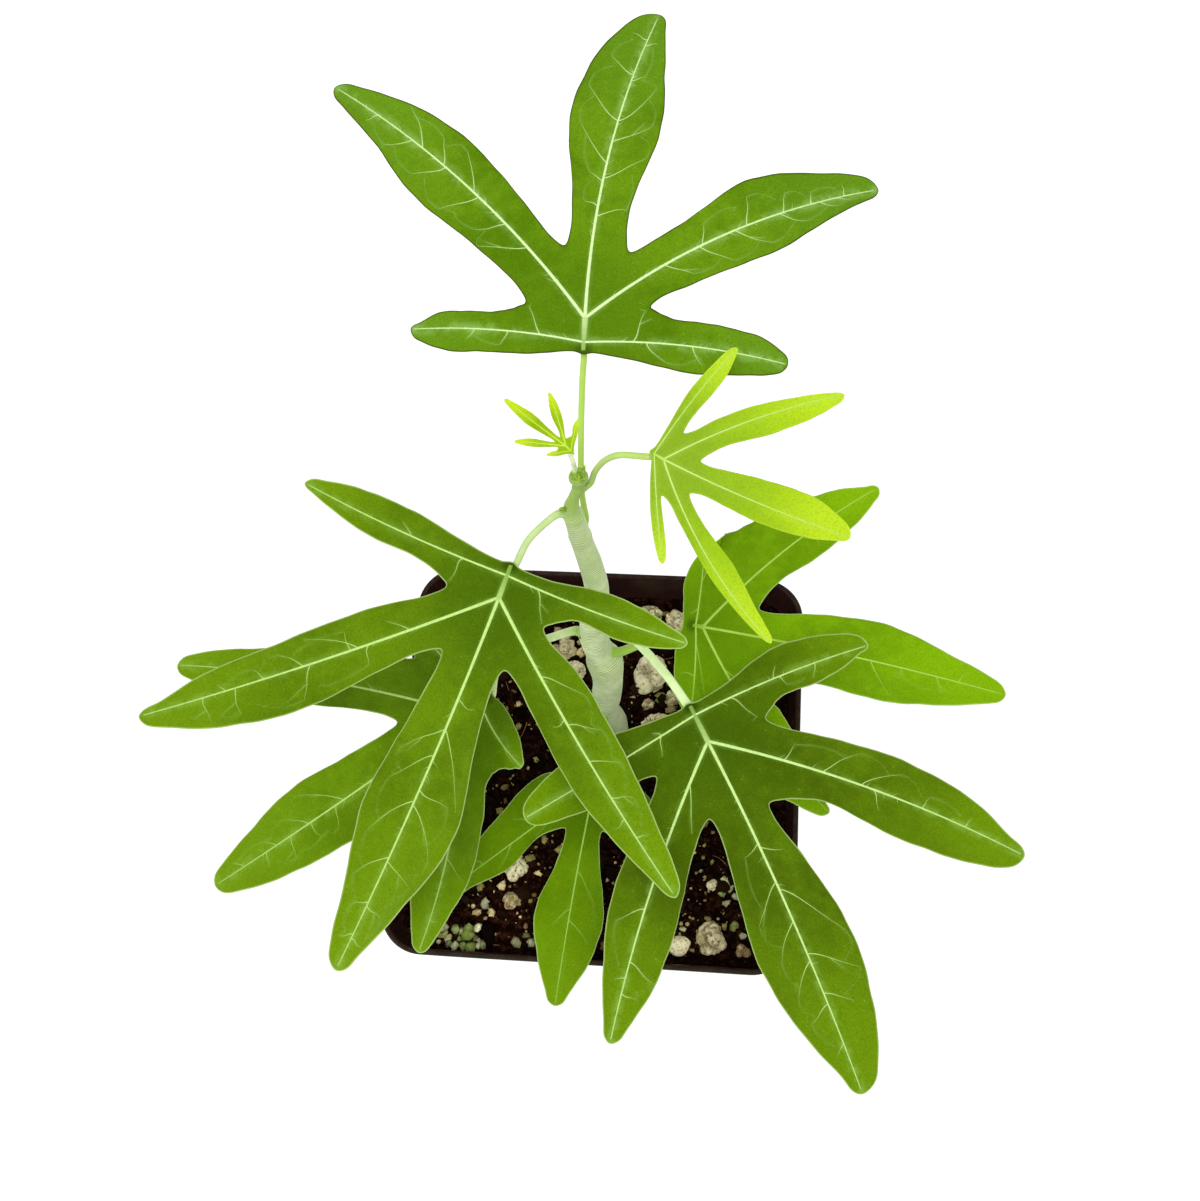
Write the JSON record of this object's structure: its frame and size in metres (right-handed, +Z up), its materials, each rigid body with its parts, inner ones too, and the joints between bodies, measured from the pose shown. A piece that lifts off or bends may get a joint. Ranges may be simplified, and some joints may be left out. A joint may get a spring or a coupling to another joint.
{
  "type": "potted plant",
  "caption": "Young adenia venenata with large five-lobed leaves on a swollen stem, rooted in gritty soil in a square tapered nursery pot.",
  "frame": {"origin": "centre of the pot's foot, on the surface that the pot stands on", "axes": "+Z up, +X to the plant's right seen from its front, +Y to its back"},
  "size_m": [0.1652, 0.1697, 0.2054],
  "materials": {
    "pot_plastic": "satin black",
    "soil_mix": "rough, crumbly",
    "pumice_stone": "rough",
    "stem_green": "waxy, fine grooves",
    "stalk_green": "smooth",
    "leaf_green": "soft sheen",
    "young_green": "soft sheen",
    "bud_green": "smooth"
  },
  "bodies": {
    "root": {"pot": "pot_plastic", "soil": "soil_mix", "pumice_01": "pumice_stone", "pumice_02": "pumice_stone", "pumice_03": "pumice_stone", "pumice_04": "pumice_stone", "pumice_05": "pumice_stone", "pumice_06": "pumice_stone", "pumice_07": "pumice_stone", "pumice_08": "pumice_stone", "pumice_09": "pumice_stone", "pumice_10": "pumice_stone", "pumice_11": "pumice_stone", "pumice_12": "pumice_stone", "pumice_13": "pumice_stone", "pumice_14": "pumice_stone", "stem": "stem_green", "shoot_tip": "bud_green", "leaf_rear_blade": "leaf_green", "leaf_rear_stalk": "stalk_green", "leaf_front_left_blade": "leaf_green", "leaf_front_left_stalk": "stalk_green", "leaf_front_right_blade": "leaf_green", "leaf_front_right_stalk": "stalk_green", "leaf_low_left_blade": "leaf_green", "leaf_low_left_stalk": "stalk_green", "leaf_low_front_blade": "leaf_green", "leaf_low_front_stalk": "stalk_green", "leaf_right_rear_blade": "leaf_green", "leaf_right_rear_stalk": "stalk_green", "leaf_young_blade": "young_green", "leaf_young_stalk": "stalk_green", "leaf_tiny_blade": "young_green", "leaf_tiny_stalk": "stalk_green"}
  },
  "joints": []
}
